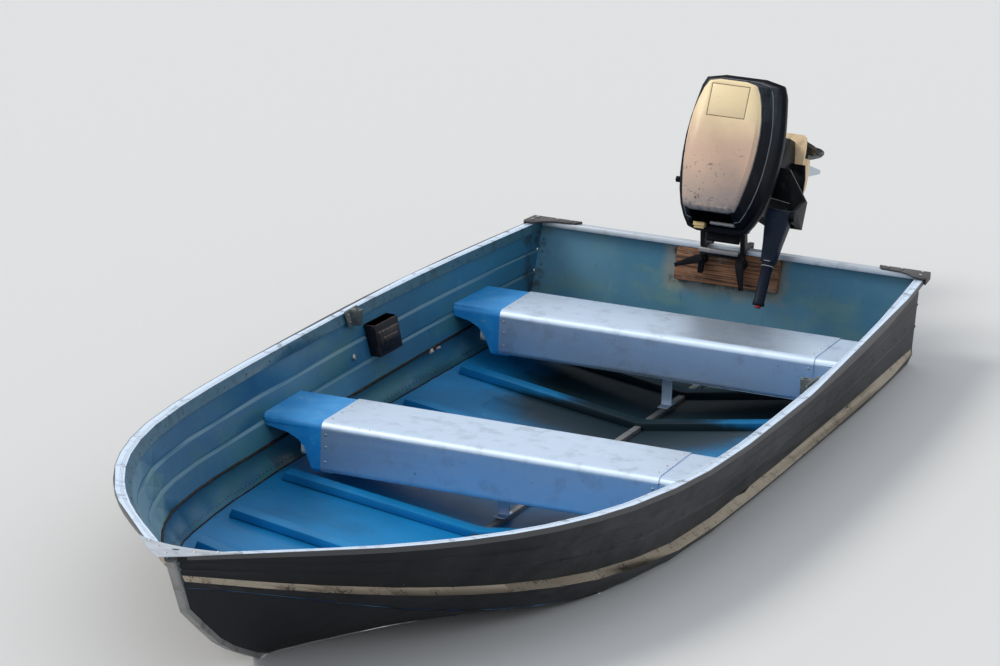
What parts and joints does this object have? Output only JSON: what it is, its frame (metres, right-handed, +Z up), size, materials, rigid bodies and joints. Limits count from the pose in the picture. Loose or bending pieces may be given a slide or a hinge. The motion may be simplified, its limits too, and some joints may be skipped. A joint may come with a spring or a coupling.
{
  "type": "rowing boat",
  "caption": "Open riveted aluminium rowing boat with bench seats, rowlock sockets and a small tiller-steered outboard tilted up on the transom.",
  "frame": {"origin": "on the centreline, midships, at the waterline", "axes": "+Y aft, +X to port, +Z up; z = 0 is the waterline"},
  "size_m": [1.4152, 4.4483, 0.8887],
  "materials": {
    "hull_outside": "dull bare and stained aluminium outside, dark near the water",
    "hull_inside": "worn blue-green paint inside",
    "gunwale": "worn bare aluminium, dulled",
    "bench": "brushed bare aluminium, scratched",
    "bench_end": "light blue paint",
    "keel": "bare aluminium",
    "corner": "rough weathered casting",
    "plywood": "weathered plywood",
    "foam": "flotation foam block",
    "rowlock": "dull casting",
    "black_box": "black plastic",
    "motor_black": "black paint, satin",
    "motor_grey": "dark grey paint",
    "cowl_light": "beige paint, scuffed",
    "leg_beige": "beige paint, stained",
    "steel": "bare steel",
    "prop": "painted aluminium, worn",
    "engine": "cast aluminium block",
    "grip": "black rubber",
    "red": "red plastic",
    "latch": "gold-coloured metal"
  },
  "bodies": {
    "boat": {"aft_bench": "bench", "aft_bench_ends": "bench_end", "bench_foam": "foam", "bench_posts": "bench", "bilge_sheet_port": "hull_inside", "bilge_sheet_starboard": "hull_inside", "bottom_sheet_port": "hull_inside", "bottom_sheet_starboard": "hull_inside", "bow_plate": "gunwale", "clamp_bracket": "motor_black", "clamp_screw_port": "steel", "clamp_screw_starboard": "steel", "corner_bracket_port": "corner", "corner_bracket_starboard": "corner", "drain_plug": "steel", "floor_ribs": "hull_inside", "fore_bottom_sheet_port": "hull_inside", "fore_bottom_sheet_starboard": "hull_inside", "forward_bench": "bench", "forward_bench_ends": "bench_end", "gunwale_port": "gunwale", "gunwale_starboard": "gunwale", "keel_and_stem": "keel", "motor_pad_inner": "plywood", "motor_pad_outer": "plywood", "rowlock_socket_port": "rowlock", "rowlock_socket_starboard": "rowlock", "side_box": "black_box", "side_sheet_port": "hull_inside", "side_sheet_starboard": "hull_inside", "tilt_pin": "steel", "transom": "hull_inside", "transom_cap": "gunwale"},
    "swivel": {"swivel_bracket": "motor_black"},
    "motor": {"steering_head": "motor_black", "leg_housing": "motor_black", "gearcase": "leg_beige", "engine_pan": "motor_black", "cowl": "motor_black", "cowl_cap": "cowl_light", "engine_block": "engine", "cowl_latch": "latch", "choke_knob": "motor_black", "tiller_bracket": "motor_black"},
    "tiller": {"tiller_arm": "motor_black", "tiller_grip": "grip", "stop_button": "red"},
    "propeller": {"propeller": "prop"}
  },
  "joints": [
    {"name": "tilt", "type": "hinge", "parent": "boat", "child": "swivel", "pos_m": [0, 1.78, 0.32], "axis": [1, 0, 0], "range_deg": [-64, 0]},
    {"name": "steer", "type": "hinge", "parent": "swivel", "child": "motor", "pos_m": [0, 1.82822, 0.41887], "axis": [0, -0.8988, 0.4384], "range_deg": [-40, 40]},
    {"name": "tiller_fold", "type": "hinge", "parent": "motor", "child": "tiller", "pos_m": [0.17, 1.76956, 0.38072], "axis": [-0.9994, 0.0153, 0.0314], "range_deg": [0, 90]},
    {"name": "propeller", "type": "hinge", "parent": "motor", "child": "propeller", "pos_m": [0, 2.45944, 0.40139], "axis": [0, 0.4384, 0.8988], "continuous": true}
  ]
}
